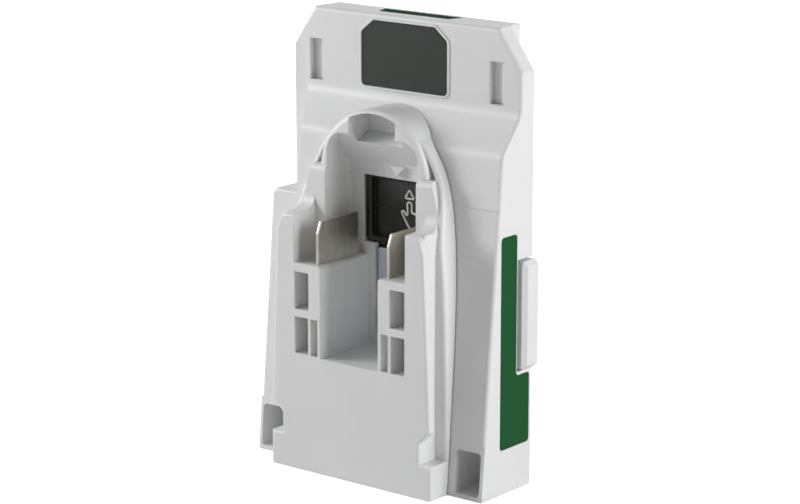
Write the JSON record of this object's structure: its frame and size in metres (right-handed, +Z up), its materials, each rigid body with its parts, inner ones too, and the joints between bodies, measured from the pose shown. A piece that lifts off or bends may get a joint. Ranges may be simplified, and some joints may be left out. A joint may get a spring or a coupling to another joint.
{
  "type": "tool battery adapter",
  "caption": "Plate-like battery adapter: pale housing with a railed battery dock, two blades, an arched catch, a black release slider and side latch bars.",
  "frame": {"origin": "on the floor plane, in the middle of the width, in the plane of the flat upper plate; on the underside of the housing", "axes": "+X to the right seen from the front, -Y out of the battery side, +Z up towards the catch end"},
  "size_m": [0.0924, 0.0392, 0.139],
  "materials": {
    "white_plastic": "fine satin moulded",
    "rail_plastic": "fine satin moulded",
    "rear_plastic": "fine satin moulded",
    "black_plastic": "fine grained",
    "blade_metal": "nickel-washed, drawn",
    "zinc_plate": "zinc plated, blue passivated",
    "screw_steel": "plated",
    "spring_steel": "bright drawn",
    "board": "solder mask",
    "component_black": "moulded",
    "lead_black": "insulation",
    "lead_red": "insulation",
    "lead_yellow": "insulation",
    "dark_label": "printed film",
    "green_label": "printed film"
  },
  "bodies": {
    "housing": {"front_cover": "white_plastic", "rear_cover": "rear_plastic", "battery_dock": "rail_plastic", "blade_negative": "blade_metal", "blade_positive": "blade_metal", "slider_keeper": "black_plastic", "keeper_screws": "screw_steel", "slider_spring_left": "spring_steel", "slider_spring_right": "spring_steel", "housing_screws": "screw_steel", "dock_screws": "screw_steel", "circuit_board": "board", "board_screws": "screw_steel", "fuse": "component_black", "transistors": "component_black", "contact_block": "black_plastic", "block_screws": "screw_steel", "rear_contact_negative": "blade_metal", "rear_contact_signal": "blade_metal", "rear_contact_positive": "blade_metal", "lead_negative": "lead_black", "lead_positive": "lead_red", "output_lead_negative": "lead_black", "output_lead_signal": "lead_yellow", "output_lead_positive": "lead_red", "front_label": "dark_label", "top_label": "green_label", "side_label_left": "green_label", "side_label_right": "green_label"},
    "slider": {"release_slider": "black_plastic", "carriage": "zinc_plate", "slider_screws": "screw_steel"},
    "latch_left": {"latch_bar_left": "white_plastic"},
    "latch_right": {"latch_bar_right": "white_plastic"}
  },
  "joints": [
    {"name": "release_slide", "type": "slide", "parent": "housing", "child": "slider", "axis": [0, 0, 1], "range_m": [0, 0.006], "stiffness_N_per_m": 400, "springref_m": -0.003, "deforming": ["slider_spring_left", "slider_spring_right"]},
    {"name": "latch_left_slide", "type": "slide", "parent": "housing", "child": "latch_left", "axis": [1, 0, 0], "range_m": [0, 0.0024]},
    {"name": "latch_right_slide", "type": "slide", "parent": "housing", "child": "latch_right", "axis": [-1, 0, 0], "range_m": [0, 0.0024]}
  ],
  "couplings": [
    {"joint": "latch_left_slide", "follows": "release_slide", "ratio": 0.4},
    {"joint": "latch_right_slide", "follows": "release_slide", "ratio": 0.4}
  ]
}
